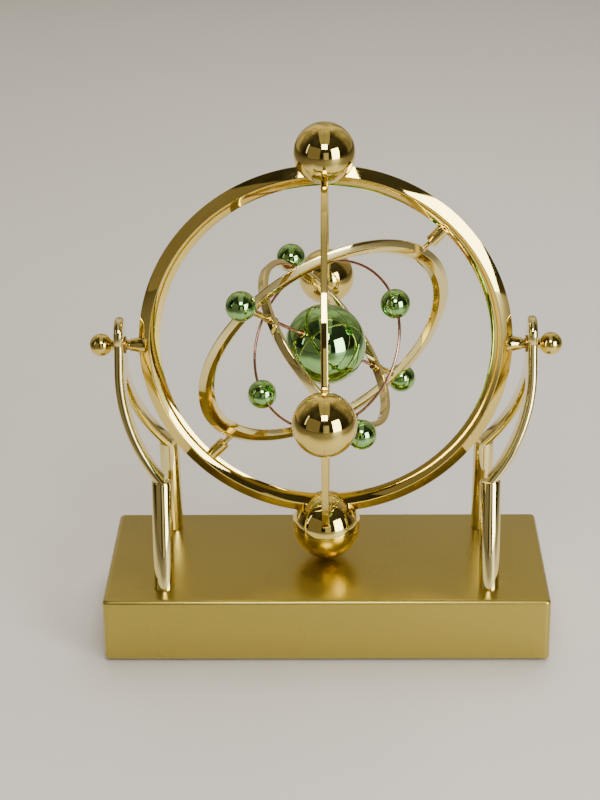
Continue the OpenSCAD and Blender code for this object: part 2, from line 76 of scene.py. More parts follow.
# Sizes in millimetres, as in the CAD model.
RING_OUT, RING_IN, RING_W = 87.6, 77.3, 5.4
HOOP_IN, HOOP_OUT, HOOP_W = 79.4, 86.0, 3.1
BALL_AT, BALL_R = 92.8, 14.1
LOW_BALL_AT, LOW_BALL_R = 94.0, 16.5
END_BALL_AT, END_BALL_R = 105.2, 5.35
AXLE_R, BOSS_R, BOSS_END, BOSS_END_R = 2.35, 4.0, 91.5, 2.9
STAND_X, STAND_T, HEAD_R, HEAD_UP = 96.3, 4.4, 8.5, 5.0
POST_X, POST_FOOT_Y, POST_TOP_Y, POST_H, POST_R = 77.0, 32.0, 23.5, 51.7, 4.9
FORK_DROP, FORK_R, BEND_DROP, BEND_R, ARM_DROP = 18.0, 3.0, 10.0, 74.0, 61.0
BUSH_R, BUSH_FLANGE_R, BUSH_FLANGE_T = 3.2, 4.0, 0.8
ORBIT_IN, ORBIT_OUT, ORBIT_W, ORBIT_BEVEL_IN, ORBIT_BEVEL_OUT = 57.9, 66.0, 3.8, 2.3, 2.6
INNER_R, INNER_T, INNER_W = 44.6, 3.2, 4.2
WIRE_RING_R, WIRE_R, EYE_R, BEAD_TURN = 40.6, 0.65, 1.7, 4.5
SMALL_R, PLANET_AT, MOON_AT, CORE_R = 6.9, 68.0, 50.6, 18.9
SOCKET_R, SOCKET_IN, SOCKET_SUNK = 2.9, 70.0, 1.5
PIVOT_R, PIVOT_FROM, PIVOT_TO = 1.2, 61.0, 75.0
ROD_R, ROD_END, SPACER_R = 0.8, 71.0, 1.5
MOON_PIN_R, MOON_PIN_FROM, MOON_PIN_TO = 0.8, 39.4, 49.0
RUN_GAP, BEAD_HOLE_R = 0.05, 1.0
COLLAR_R, COLLAR_LEN, COLLAR_PLAY = 2.0, 1.4, 0.3

# How far the base's top edge, upright corners and lower edge are rounded, in millimetres, as in the photo.
EDGE_R, CORNER_R, LIP_R = 2.1, 2.8, 1.2

# ---- Camera --------------------------------------------------------------------------------------


def make_camera():
    """A long lens a little above the model, turned and rolled by about a degree."""
    elevation, azimuth, roll = math.radians(23.3), math.radians(1.15), math.radians(-0.63)
    distance, frame_height, lens = 0.99, 36.0, 95.2
    off_centre = Vector((-0.012, -0.0105, -0.0239))
    away = Vector((math.sin(azimuth), -math.cos(azimuth), 0)) * math.cos(elevation)
    away.z = math.sin(elevation)
    camera = bpy.data.objects.new("camera", bpy.data.cameras.new("camera"))
    camera.data.sensor_fit = "VERTICAL"
    camera.data.sensor_height = frame_height
    camera.data.lens = lens
    camera.data.clip_start = 0.01
    look = (-away).to_track_quat("-Z", "Y").to_matrix().to_4x4()
    stand_at = Matrix.Translation(CENTRE + off_centre + away * distance)
    camera.matrix_world = stand_at @ look @ Matrix.Rotation(roll, 4, "Z")
    bpy.context.scene.collection.objects.link(camera)
    bpy.context.scene.camera = camera


make_camera()

# ---- Materials -----------------------------------------------------------------------------------


def material(name, metallic=0.0, roughness=0.5, coat=0.0):
    """A Principled material, with its node tree, shader and object coordinates."""
    made = bpy.data.materials.new(name)
    made.use_nodes = True
    tree = made.node_tree
    shader = tree.nodes["Principled BSDF"]
    shader.inputs["Metallic"].default_value = metallic
    shader.inputs["Roughness"].default_value = roughness
    shader.inputs["Coat Weight"].default_value = coat
    place = tree.nodes.new("ShaderNodeTexCoord")
    return made, tree, shader, place.outputs["Object"]


def noise(tree, place, scale, detail=3.0):
    """A noise texture's factor, with scale in cycles per metre."""
    node = tree.nodes.new("ShaderNodeTexNoise")
    node.inputs["Scale"].default_value = scale
    node.inputs["Detail"].default_value = detail
    tree.links.new(place, node.inputs["Vector"])
    return node.outputs["Fac"]


def ramp(tree, factor, low, high, start=0.3, end=0.7):
    """A colour ramp from low to high over part of the factor's range."""
    node = tree.nodes.new("ShaderNodeValToRGB")
    node.color_ramp.elements[0].position = start
    node.color_ramp.elements[0].color = (*low, 1)
    node.color_ramp.elements[1].position = end
    node.color_ramp.elements[1].color = (*high, 1)
    tree.links.new(factor, node.inputs["Fac"])
    return node.outputs["Color"]


def spread(tree, factor, low, high, start=0.3, end=0.7, smooth=False):
    """The factor's range from start to end mapped to values from low to high, and clamped."""
    node = tree.nodes.new("ShaderNodeMapRange")
    if smooth:
        node.interpolation_type = "SMOOTHSTEP"
    for socket, value in (("From Min", start), ("From Max", end), ("To Min", low), ("To Max", high)):
        node.inputs[socket].default_value = value
    tree.links.new(factor, node.inputs["Value"])
    return node.outputs["Result"]


def scaled(tree, colour, factor):
    """A colour multiplied by a value."""
    node = tree.nodes.new("ShaderNodeVectorMath")
    node.operation = "SCALE"
    tree.links.new(colour, node.inputs[0])
    tree.links.new(factor, node.inputs["Scale"])
    return node.outputs["Vector"]


def maths(tree, operation, *values):
    """A math node on sockets or plain numbers."""
    node = tree.nodes.new("ShaderNodeMath")
    node.operation = operation
    for socket, value in zip(node.inputs, values):
        if isinstance(value, (int, float)):
            socket.default_value = value
        else:
            tree.links.new(value, socket)
    return node.outputs["Value"]


def bump(tree, shader, height, strength, distance, under=None):
    """Adds a bump to the shader's normal, on top of another bump where one is given."""
    node = tree.nodes.new("ShaderNodeBump")
    node.inputs["Strength"].default_value = strength
    node.inputs["Distance"].default_value = distance
    tree.links.new(height, node.inputs["Height"])
    if under is not None:
        tree.links.new(under, node.inputs["Normal"])
    tree.links.new(node.outputs["Normal"], shader.inputs["Normal"])
    return node.outputs["Normal"]


def plated(name, low, high, roughness=(0.02, 0.06)):
    """Electroplate on a moulding: a mirror with faint ripples and slightly uneven gloss and colour."""
    made, tree, shader, place = material(name, metallic=1.0)
    tree.links.new(ramp(tree, noise(tree, place, 45, 2), low, high), shader.inputs["Base Color"])
    tree.links.new(spread(tree, noise(tree, place, 160), *roughness), shader.inputs["Roughness"])
    bump(tree, shader, noise(tree, place, 110, 1), 0.05, 0.0004)
    return made


def paint_gold():
    """Satin metallic paint: fine flakes over a soft orange-peel surface."""
    made, tree, shader, place = material("paint_gold", metallic=0.92, coat=0.65)
    shader.inputs["Coat Roughness"].default_value = 0.25
    flakes = noise(tree, place, 5200, 2)
    colour = ramp(tree, flakes, (0.405, 0.315, 0.05), (0.485, 0.38, 0.068))
    tree.links.new(colour, shader.inputs["Base Color"])
    tree.links.new(spread(tree, noise(tree, place, 40, 1), 0.27, 0.31), shader.inputs["Roughness"])
    peel = bump(tree, shader, noise(tree, place, 500, 1), 0.02, 0.0001)
    bump(tree, shader, flakes, 0.02, 0.00002, peel)
    return made


def moulded(name, low, high, roughness=0.5, grain=1800, strength=0.25):
    """Moulded plastic or rubber with a fine spark-eroded grain."""
    made, tree, shader, place = material(name, roughness=roughness)
    tree.links.new(ramp(tree, noise(tree, place, 60), low, high), shader.inputs["Base Color"])
    tree.links.new(spread(tree, noise(tree, place, 300), roughness - 0.06, roughness + 0.06),
                   shader.inputs["Roughness"])
    bump(tree, shader, noise(tree, place, grain, 2), strength, 0.0001)
    return made


def metal(name, low, high, roughness=0.3, grain=900):
    """Plain machined metal with fine marks."""
    made, tree, shader, place = material(name, metallic=1.0, roughness=roughness)
    tree.links.new(ramp(tree, noise(tree, place, 120), low, high), shader.inputs["Base Color"])
    tree.links.new(spread(tree, noise(tree, place, 500), roughness - 0.08, roughness + 0.08),
                   shader.inputs["Roughness"])
    bump(tree, shader, noise(tree, place, grain, 2), 0.15, 0.00005)
    return made


GOLD = plated("gold_plate", (0.80, 0.63, 0.17), (0.87, 0.69, 0.22))
PALE_GOLD = plated("pale_gold_plate", (0.84, 0.71, 0.29), (0.90, 0.77, 0.35))
PIN_GOLD = plated("pin_gold", (0.78, 0.60, 0.17), (0.86, 0.67, 0.22), roughness=(0.05, 0.12))
SATIN_GOLD = plated("satin_gold_plate", (0.84, 0.62, 0.09), (0.92, 0.70, 0.13), roughness=(0.17, 0.22))
GREEN = plated("green_plate", (0.27, 0.53, 0.18), (0.35, 0.62, 0.24))
COPPER = metal("copper_wire", (0.45, 0.22, 0.16), (0.60, 0.32, 0.24), roughness=0.16)
BUSH = metal("bush_brass", (0.28, 0.17, 0.04), (0.42, 0.27, 0.07), roughness=0.3)
PAINT = paint_gold()
BROWN = moulded("brown_plastic", (0.045, 0.036, 0.024), (0.07, 0.055, 0.035))
BLACK = moulded("black_plastic", (0.012, 0.012, 0.012), (0.03, 0.03, 0.03), roughness=0.42)
RUBBER = moulded("rubber", (0.015, 0.015, 0.015), (0.03, 0.03, 0.03), roughness=0.8, grain=2600, strength=0.5)
NYLON = moulded("nylon", (0.66, 0.62, 0.52), (0.78, 0.75, 0.66), roughness=0.45)
BOARD = moulded("solder_mask", (0.02, 0.11, 0.04), (0.04, 0.17, 0.07), roughness=0.3, strength=0.1)
SLEEVE = moulded("battery_sleeve", (0.42, 0.18, 0.03), (0.55, 0.26, 0.05), roughness=0.3, strength=0.1)
LEAD = moulded("lead_red", (0.35, 0.02, 0.02), (0.5, 0.04, 0.04), roughness=0.4, strength=0.1)
STEEL = metal("steel", (0.45, 0.45, 0.46), (0.62, 0.62, 0.63))
WINDING = metal("winding_copper", (0.42, 0.17, 0.05), (0.58, 0.27, 0.10), roughness=0.25, grain=2500)

# ---- Mesh helpers --------------------------------------------------------------------------------


def softened(points, radius, steps=4):
    """The closed outline with each corner replaced by a short curve of about that radius."""
    made = []
    for i, point in enumerate(points):
        corner = Vector(point)
        before = Vector(points[i - 1]) - corner
        after = Vector(points[(i + 1) % len(points)]) - corner
        reach = min(radius, 0.45 * before.length, 0.45 * after.length)
        start = corner + before.normalized() * reach
        end = corner + after.normalized() * reach
        for k in range(steps + 1):
            t = k / steps
            made.append(start * (1 - t) ** 2 + corner * 2 * t * (1 - t) + end * t ** 2)
    return made


def finished(name, bm, place, body, look, nodes, sharp=35):
    """Turns a bmesh in millimetres into a smooth-shaded piece that rides on a body."""
    bmesh.ops.remove_doubles(bm, verts=bm.verts, dist=1e-5)
    bmesh.ops.recalc_face_normals(bm, faces=bm.faces)
    mesh = bpy.data.meshes.new(name)
    bm.to_mesh(mesh)
    bm.free()
    mesh.transform(place @ Matrix.Scale(MM, 4))
    mesh.shade_smooth()
    mesh.set_sharp_from_angle(angle=math.radians(sharp))
    mesh.materials.append(look)
    piece = bpy.data.objects.new(name, mesh)
    bpy.context.scene.collection.objects.link(piece)
    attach(piece, body)
    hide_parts(*nodes)


def turn_into(bm, profile, place=Matrix.Identity(4), segments=96, closed=False):
    """Revolves a profile of (radius, height) points about local Z and adds it to the bmesh."""
    loops = []
    for radius, height in profile:
        if radius < 1e-6:
            loops.append([bm.verts.new(place @ Vector((0, 0, height)))])
            continue
        loops.append([bm.verts.new(place @ Vector((radius * math.cos(a), radius * math.sin(a), height)))
                      for a in (2 * math.pi * i / segments for i in range(segments))])
    pairs = list(zip(loops, loops[1:]))
    if closed:
        pairs.append((loops[-1], loops[0]))
    for low, high in pairs:
        for i in range(segments):
            k = (i + 1) % segments
            if len(low) == 1:
                bm.faces.new((low[0], high[k], high[i]))
            elif len(high) == 1:
                bm.faces.new((low[i], low[k], high[0]))
            else:
                bm.faces.new((low[i], low[k], high[k], high[i]))


def ball_profile(radius, steps, seam=0.0, edge=0.0):
    """A ball's outline up to an angle from each pole, with a fine groove where its two halves meet."""
    points = []
    for i in range(steps + 1):
        turns = [(-math.pi / 2 + edge + (math.pi - 2 * edge) * i / steps, radius)]
        if seam and i == steps // 2:
            groove, deep = 0.12 / radius, radius - seam
            turns = [(-groove, radius), (-groove / 3, deep), (groove / 3, deep), (groove, radius)]
        points += [(max(0.0, r * math.cos(a)), r * math.sin(a)) for a, r in turns]
    return points


def drilled_ball_profile(radius, hole, steps, seam=0.0):
    """A closed outline for a ball with a bore right through it, softened at both mouths."""
    mouth, lip = 0.25, 0.02
    points = ball_profile(radius, steps, seam, math.asin((hole + mouth) / radius))
    top = points[-1][1]
    rim = hole + mouth * 0.3
    return points + [(rim, top - lip), (hole, top - mouth), (hole, mouth - top), (rim, lip - top)]


def rod_profile(radius, start, end, chamfer=0.25):
    """A plain rod with softened ends."""
    edge = min(chamfer, 0.4 * radius)
    cut = edge * 0.3
    return [(0, start), (radius - edge, start), (radius - cut, start + cut), (radius, start + edge),
            (radius, end - edge), (radius - cut, end - cut), (radius - edge, end), (0, end)]


def tube_outline(inner, outer, start, end, edge=0.25):
    """A closed outline for a tube with softened edges."""
    return softened([(inner, start), (outer, start), (outer, end), (inner, end)], edge)


# ---- Base ----------------------------------------------------------------------------------------


def rounded_rectangle(half_w, half_d, radius, height, corner_steps=8):
    """Points of a rectangle with round corners, anticlockwise, at one height."""
    points = []
    for k, (sx, sy) in enumerate(((1, 1), (-1, 1), (-1, -1), (1, -1))):
        for i in range(corner_steps + 1):
            angle = math.pi / 2 * (k + i / corner_steps)
            points.append(Vector((sx * (half_w - radius) + radius * math.cos(angle),
                                  sy * (half_d - radius) + radius * math.sin(angle), height)))
    return points


def bridge(bm, loops):
    """Joins a list of equal loops of vertices with quads."""
    for low, high in zip(loops, loops[1:]):
        for i in range(len(low)):
            k = (i + 1) % len(low)
            bm.faces.new((low[i], low[k], high[k], high[i]))


def make_base():
    """The shell: outer skin with a rounded shoulder, a rolled lower lip and a real wall thickness."""
    wall, lip, steps = 2.4, 0.35, 8
    half_w, half_d = (BASE_HIGH.x - BASE_LOW.x) / 2 / MM, (BASE_HIGH.y - BASE_LOW.y) / 2 / MM
    low, high = BASE_LOW.z / MM, BASE_HIGH.z / MM
    bm = bmesh.new()
    quarter = [math.pi / 2 * i / steps for i in range(steps + 1)]
    rings = [(wall, high - wall), (wall, low + lip), (wall - lip, low)]
    rings += [(LIP_R * (1 - math.sin(a)), low + LIP_R * (1 - math.cos(a))) for a in quarter]
    rings += [(EDGE_R * (1 - math.cos(a)), high - EDGE_R * (1 - math.sin(a))) for a in quarter]
    loops = []
    for inset, height in rings:
        outline = rounded_rectangle(half_w - inset, half_d - inset, max(0.05, CORNER_R - inset), height)
        loops.append([bm.verts.new(point) for point in outline])
    bridge(bm, loops)
    bm.faces.new(loops[-1])
    bm.faces.new(list(reversed(loops[0])))
    cut_switch_slot(bm, half_d, wall)
    finished("base_cover", bm, Matrix.Identity(4), "base", PAINT, ["base_shell"])


def cut_switch_slot(bm, outside, wall):
    """Opens the back wall around the knob and its travel, with a sill as deep as the wall."""
    knob_low, knob_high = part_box("switch_slider")
    gap, travel = 0.4, JOINTS["switch_slide"]["range_m"][1] / MM
    left, right = knob_low.x / MM - gap, knob_high.x / MM + travel + gap
    bottom, top = knob_low.z / MM - gap, knob_high.z / MM + gap
    for place, way in ((left, X), (right, X), (bottom, Z), (top, Z)):
        geometry = bm.verts[:] + bm.edges[:] + bm.faces[:]
        bmesh.ops.bisect_plane(bm, geom=geometry, plane_co=way * place, plane_no=way)
    patches = []
    for face in bm.faces:
        middle = face.calc_center_median()
        if middle.y > outside - wall - 0.1 and left < middle.x < right and bottom < middle.z < top:
            patches.append(face)
    bmesh.ops.delete(bm, geom=patches, context="FACES")
    corners = [(left, bottom), (right, bottom), (right, top), (left, top)]
    rims = [[min(bm.verts, key=lambda v: (v.co - Vector((x, y, z))).length) for x, z in corners]
            for y in (outside, outside - wall)]
    bridge(bm, rims)


def make_knob():
    """The switch's knob, with four grip ridges across its end."""
    low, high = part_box("switch_slider")
    ridges, rise, soft = 4, 0.5, 0.12
    width, height = (high.x - low.x) / MM, (high.z - low.z) / MM
    front, back = low.y / MM, high.y / MM
    section = [(0, front), (0, back - rise)]
    for i in range(ridges):
        start, pitch = i * width / ridges, width / ridges
        section += [(start + 0.15 * pitch, back - rise), (start + 0.3 * pitch, back),
                    (start + 0.7 * pitch, back), (start + 0.85 * pitch, back - rise)]
    section += [(width, back - rise), (width, front)]
    section = softened(section, soft)
    bm = bmesh.new()
    levels = [(0, soft), (soft, 0), (height - soft, 0), (height, soft)]
    middle = Vector((width / 2, (front + back) / 2))
    loops = []
    for level, inset in levels:
        shrink = 1 - inset / (width / 2)
        loops.append([bm.verts.new(Vector((low.x / MM + middle.x + (p.x - middle.x) * shrink,
                                           middle.y + (p.y - middle.y) * shrink, low.z / MM + level)))
                      for p in section])
    bridge(bm, loops)
    bm.faces.new(loops[0])
    bm.faces.new(loops[-1])
    place = Matrix.Identity(4)
    finished("switch_knob", bm, place, "slider", BLACK, ["switch_slider"])


# ---- Stands --------------------------------------------------------------------------------------


def stand_outline():
    """The bent plate's outline seen from the side, relative to the axle: a round head over a fork."""
    half_arm, head_steps, fork_steps = POST_R - 0.4, 24, 12
    outer, inner = POST_TOP_Y + half_arm, POST_TOP_Y - half_arm
    slope = math.atan2(outer - HEAD_R, POST_H + HEAD_UP)
    head = [(HEAD_R * math.cos(a), HEAD_UP + HEAD_R * math.sin(a))
            for a in (-slope + (math.pi + 2 * slope) * i / head_steps for i in range(head_steps + 1))]
    fork = [(-FORK_R * math.cos(a), -FORK_DROP - FORK_R + FORK_R * math.sin(a))
            for a in (math.pi * i / fork_steps for i in range(fork_steps + 1))]
    left_foot = [(-outer, -ARM_DROP), (-inner, -ARM_DROP)]
    right_foot = [(inner, -ARM_DROP), (outer, -ARM_DROP)]
    return head + left_foot + fork + right_foot


def bend_plate(point):
    """Moves a point of the flat plate (thickness, across, up) onto the stand's curved centre line."""
    across_t, y, z = point
    if z >= -BEND_DROP:
        return Vector((STAND_X + across_t, y, z))
    angle = math.asin(min(1.0, (-BEND_DROP - z) / BEND_R))
    radius = BEND_R + across_t
    return Vector((STAND_X - BEND_R + radius * math.cos(angle), y, -BEND_DROP - radius * math.sin(angle)))


def bevelled_plate(outline, thickness, edge):
    """A flat plate with round edges, as a bmesh: outline in XY, thickness along Z."""
    curve = bpy.data.curves.new("plate", "CURVE")
    curve.dimensions = "2D"
    curve.fill_mode = "BOTH"
    curve.extrude = thickness / 2 - edge
    curve.bevel_depth = edge
    curve.bevel_resolution = 5
    curve.offset = -edge
    spline = curve.splines.new("POLY")
    spline.points.add(len(outline) - 1)
    for slot, (x, y) in zip(spline.points, outline):
        slot.co = (x, y, 0, 1)
    spline.use_cyclic_u = True
    holder = bpy.data.objects.new("plate", curve)
    bpy.context.scene.collection.objects.link(holder)
    bpy.context.view_layer.update()
    bm = bmesh.new()
    bm.from_mesh(holder.evaluated_get(bpy.context.evaluated_depsgraph_get()).to_mesh())
    bpy.data.objects.remove(holder)
    bmesh.ops.remove_doubles(bm, verts=bm.verts, dist=1e-4)
    return bm


def make_stand(side, name, node):
    """A bent, round-edged wishbone plate that grows out of two leaning posts."""
    plate_edge, slices = 1.9, 60
    sole, foot_edge, top_edge, top_cut = -3, 0.5, 0.7, 0.2
    bm = bevelled_plate(stand_outline(), STAND_T, plate_edge)
    for i in range(1, slices):
        height = -ARM_DROP + i * (ARM_DROP + HEAD_UP) / slices
        geometry = bm.verts[:] + bm.edges[:] + bm.faces[:]
        bmesh.ops.bisect_plane(bm, geom=geometry, plane_co=(0, height, 0), plane_no=(0, 1, 0))
    for vert in bm.verts:
        y, z, across_t = vert.co
        vert.co = bend_plate((across_t, y, z)) + Vector((0, 0, CENTRE.z / MM))
    lean = math.atan2(POST_FOOT_Y - POST_TOP_Y, POST_H)
    length = POST_H / math.cos(lean)
    base_top = BASE_HIGH.z / MM
    for y in (-1, 1):
        axis = Vector((0, -y * math.sin(lean), math.cos(lean)))
        foot = Vector((POST_X, y * POST_FOOT_Y, base_top))
        profile = [(0, sole), (POST_R - foot_edge, sole), (POST_R, sole + 1), (POST_R, length - top_edge),
                   (POST_R - top_cut, length - top_cut), (POST_R - top_edge, length), (0, length)]
        verts_before = set(bm.verts)
        turn_into(bm, profile, about(axis, foot), 64)
        for vert in set(bm.verts) - verts_before:
            along = (vert.co - foot).dot(axis)
            if along < 0:
                level = base_top + (foot_edge if along > sole + 0.5 else 0)
                vert.co -= axis * (vert.co.z - level) / axis.z
    place = Matrix.Scale(side, 4, X)
    if side < 0:
        bmesh.ops.reverse_faces(bm, faces=bm.faces)
    finished(name, bm, place, "base", PALE_GOLD, [node], sharp=40)


def make_bush(side, name, node):
    """A flanged bush, its bore a running fit on the axle."""
    face, bore = STAND_X - STAND_T / 2, AXLE_R + RUN_GAP
    bm = bmesh.new()
    outline = [(bore, face - BUSH_FLANGE_T), (BUSH_FLANGE_R, face - BUSH_FLANGE_T), (BUSH_FLANGE_R, face),
               (BUSH_R, face), (BUSH_R, face + STAND_T), (bore, face + STAND_T)]
    turn_into(bm, softened(outline, 0.2), closed=True)
    finished(name, bm, about(side * X), "base", BUSH, [node])


# ---- Outer gimbal --------------------------------------------------------------------------------


def make_ring(name, outline, axis, body, look, nodes, segments=256, soft=0.3):
    """A hoop about an axis through the centre, with softened edges."""
    bm = bmesh.new()
    turn_into(bm, softened(outline, soft), closed=True, segments=segments)
    finished(name, bm, about(axis), body, look, nodes, sharp=25)


def make_main_ring():
    """The big ring has a diamond section, so that each side shows two sloping facets."""
    middle = (RING_OUT + RING_IN) / 2
    outline = [(RING_IN, 0), (middle, -RING_W / 2), (RING_OUT, 0), (middle, RING_W / 2)]
    make_ring("main_ring_plated", outline, Y, "gimbal", GOLD, ["main_ring"], 320, 0.45)


def make_hoop(side, name, node):
    """One half of the cross ring, ending inside the top and bottom balls."""
    segments, sweep = 160, math.pi
    half = HOOP_W / 2
    section = softened([(HOOP_IN, -half), (HOOP_OUT, -half), (HOOP_OUT, half), (HOOP_IN, half)], 0.45)
    bm = bmesh.new()
    loops = []
    for i in range(segments + 1):
        angle = -math.pi / 2 + sweep * i / segments
        out, up = side * math.cos(angle), math.sin(angle)
        loops.append([bm.verts.new(Vector((across, radius * out, radius * up)))
                      for radius, across in section])
    bridge(bm, loops)
    bm.faces.new(loops[0])
    bm.faces.new(loops[-1])
    finished(name, bm, GIMBAL, "gimbal", GOLD, [node], sharp=25)


def make_ball(name, centre, seam_axis, radius, nodes, seam=0.07):
    """A plated ball moulded in two halves, with the fine line where they meet."""
    bm = bmesh.new()
    turn_into(bm, ball_profile(radius, 96, seam), segments=192)
    place = about(seam_axis, CENTRE + centre * MM)
    finished(name, bm, place, "gimbal", GOLD, nodes, sharp=25)


def make_ball_half(side, name, centre, radius, look, node):
    """One half of the bottom ball, with a step at the seam where it meets the other half."""
    steps, step = 64, 0.12
    start = 2 * step / radius
    profile = [(0, 0), (radius - 2 * step, 0), (radius - step, side * step)]
    profile += [(radius * math.cos(a), side * radius * math.sin(a))
                for a in (start + (math.pi / 2 - start) * i / steps for i in range(steps))]
    profile.append((0, side * radius))
    bm = bmesh.new()
    turn_into(bm, profile, segments=192)
    place = Matrix.Translation(CENTRE + centre * MM)
    finished(name, bm, place, "gimbal", look, [node], sharp=25)


def make_axle(side, name, node):
    """A stub shaft that flares into the main ring."""
    start, flare_from, steps = (RING_OUT + RING_IN) / 2 + 2, RING_OUT - 1, 8
    bm = bmesh.new()
    profile = [(0, start), (BOSS_R, start)]
    for i in range(steps + 1):
        t = i / steps
        radius = BOSS_R - (BOSS_R - BOSS_END_R) * math.sin(t * math.pi / 2)
        profile.append((radius, flare_from + t * (BOSS_END - flare_from)))
    profile += [(AXLE_R + 0.1, BOSS_END + 0.1), (AXLE_R, BOSS_END + 0.4),
                (AXLE_R, END_BALL_AT), (0, END_BALL_AT)]
    turn_into(bm, profile)
    finished(name, bm, about(side * X), "gimbal", PIN_GOLD, [node])


def make_end_ball(side, name, node):
    """The small ball that keeps the axle in its stand."""
    bm = bmesh.new()
    turn_into(bm, [(radius, END_BALL_AT + height) for radius, height in ball_profile(END_BALL_R, 64)])
    finished(name, bm, about(side * X), "gimbal", GOLD, [node])


def make_socket(side, name, node):
    """A turned socket inside the main ring, with a recessed mouth."""
    bore, end = PIVOT_R + RUN_GAP, RING_IN + SOCKET_SUNK
    bm = bmesh.new()
    outline = [(bore, SOCKET_IN), (SOCKET_R, SOCKET_IN), (SOCKET_R, end), (bore, end)]
    turn_into(bm, softened(outline, 0.35), closed=True)
    finished(name, bm, about(side * ORBIT_AXIS), "gimbal", GOLD, [node])


# ---- Orbit ring, core and inner ring -------------------------------------------------------------


def make_orbit_ring():
    """A flat ring, bevelled to a narrow edge inside and outside."""
    half, edge = ORBIT_W / 2, 0.25
    flat_in, flat_out = ORBIT_IN + ORBIT_BEVEL_IN, ORBIT_OUT - ORBIT_BEVEL_OUT
    outline = [(ORBIT_IN, -edge), (flat_in, -half), (flat_out, -half), (ORBIT_OUT, -edge),
               (ORBIT_OUT, edge), (flat_out, half), (flat_in, half), (ORBIT_IN, edge)]
    make_ring("orbit_ring_plated", outline, ORBIT_AXIS.cross(PLANET_AXIS), "orbit",
              PALE_GOLD, ["orbit_ring"], 320, 0.2)


def make_pivot(side, name, node):
    """A plain pin that stands out of the orbit ring."""
    bm = bmesh.new()
    turn_into(bm, rod_profile(PIVOT_R, PIVOT_FROM, PIVOT_TO), segments=48)
    finished(name, bm, about(side * ORBIT_AXIS), "orbit", PIN_GOLD, [node])


def make_small_ball(name, centre, hole_axis, hole, body, node):
    """A small green ball, drilled through along its rod or wire."""
    bm = bmesh.new()
    turn_into(bm, drilled_ball_profile(SMALL_R, hole, 72), segments=128, closed=True)
    place = about(hole_axis, CENTRE + centre * MM)
    finished(name, bm, place, body, GREEN, [node], sharp=30)


def make_bead(side, name, node):
    """A green ball on the wire ring, a few degrees round from square to the moons' axis."""
    turn = math.radians(BEAD_TURN)
    outward = NORMAL * side * math.cos(turn) + MOON_AXIS * math.sin(turn)
    along = MOON_AXIS * math.cos(turn) - NORMAL * side * math.sin(turn)
    make_small_ball(name, outward * WIRE_RING_R, along, BEAD_HOLE_R, "wire", node)


def make_core():
    """The big green ball, with its seam and the bore that the rod runs in."""
    bm = bmesh.new()
    turn_into(bm, drilled_ball_profile(CORE_R, ROD_R + RUN_GAP, 128, 0.06), segments=256, closed=True)
    place = about(PLANET_AXIS)
    finished("core_ball", bm, place, "core", GREEN, ["core_sphere"], sharp=30)


def make_rod():
    """The rod through the core, with its spacers and collars as separate pieces."""
    bm = bmesh.new()
    turn_into(bm, rod_profile(ROD_R, -ROD_END, ROD_END), segments=48)
    finished("planet_rod_drawn", bm, about(PLANET_AXIS), "orbit", COPPER, ["planet_rod"])
    inner_face = INNER_R - INNER_T / 2 - COLLAR_PLAY
    outer_face = INNER_R + INNER_T / 2 + COLLAR_PLAY
    collar_starts = CORE_R + COLLAR_PLAY, inner_face - COLLAR_LEN, outer_face
    collars = [(start, start + COLLAR_LEN) for start in collar_starts]
    spacers = [(outer_face + COLLAR_LEN, ORBIT_IN + 1)]
    for name, radius, spans in (("rod_collars", COLLAR_R, collars), ("rod_spacers", SPACER_R, spacers)):
        bm = bmesh.new()
        for side in (-1, 1):
            for start, end in spans:
                outline = tube_outline(ROD_R, radius, start, end)
                turn_into(bm, outline, about(side * Z, ORIGIN), 48, closed=True)
        finished(f"{name}_plated", bm, about(PLANET_AXIS), "orbit", PIN_GOLD, [name])


def make_inner_ring():
    """A flat band with well-rounded edges."""
    low, high, half = INNER_R - INNER_T / 2, INNER_R + INNER_T / 2, INNER_W / 2
    outline = [(low, -half), (high, -half), (high, half), (low, half)]
    make_ring("inner_ring_plated", outline, NORMAL, "inner", PALE_GOLD,
              ["inner_ring"], soft=0.8)


def make_moon_pins():
    """The short pins that the wire ring swings on."""
    bm = bmesh.new()
    for side in (-1, 1):
        turn_into(bm, rod_profile(MOON_PIN_R, MOON_PIN_FROM, MOON_PIN_TO), about(side * Z, ORIGIN), 32)
    finished("moon_pins_plated", bm, about(MOON_AXIS), "inner", PIN_GOLD, ["moon_pins"])


def make_wire_ring():
    """A thin drawn wire with a small drilled eye at each pin."""
    axis = PLANET_AXIS.cross(MOON_AXIS).cross(MOON_AXIS)
    sides = 24
    circle = [(WIRE_RING_R + WIRE_R * math.cos(a), WIRE_R * math.sin(a))
              for a in (2 * math.pi * i / sides for i in range(sides))]
    bm = bmesh.new()
    turn_into(bm, circle, about(axis, ORIGIN), 256, closed=True)
    for side in (-1, 1):
        eye = about(side * MOON_AXIS, side * MOON_AXIS * WIRE_RING_R)
        turn_into(bm, drilled_ball_profile(EYE_R, MOON_PIN_R + RUN_GAP, 24), eye, 48, closed=True)
    finished("wire_ring_drawn", bm, GIMBAL, "wire", COPPER, ["wire_ring"])


# ---- Build it all --------------------------------------------------------------------------------

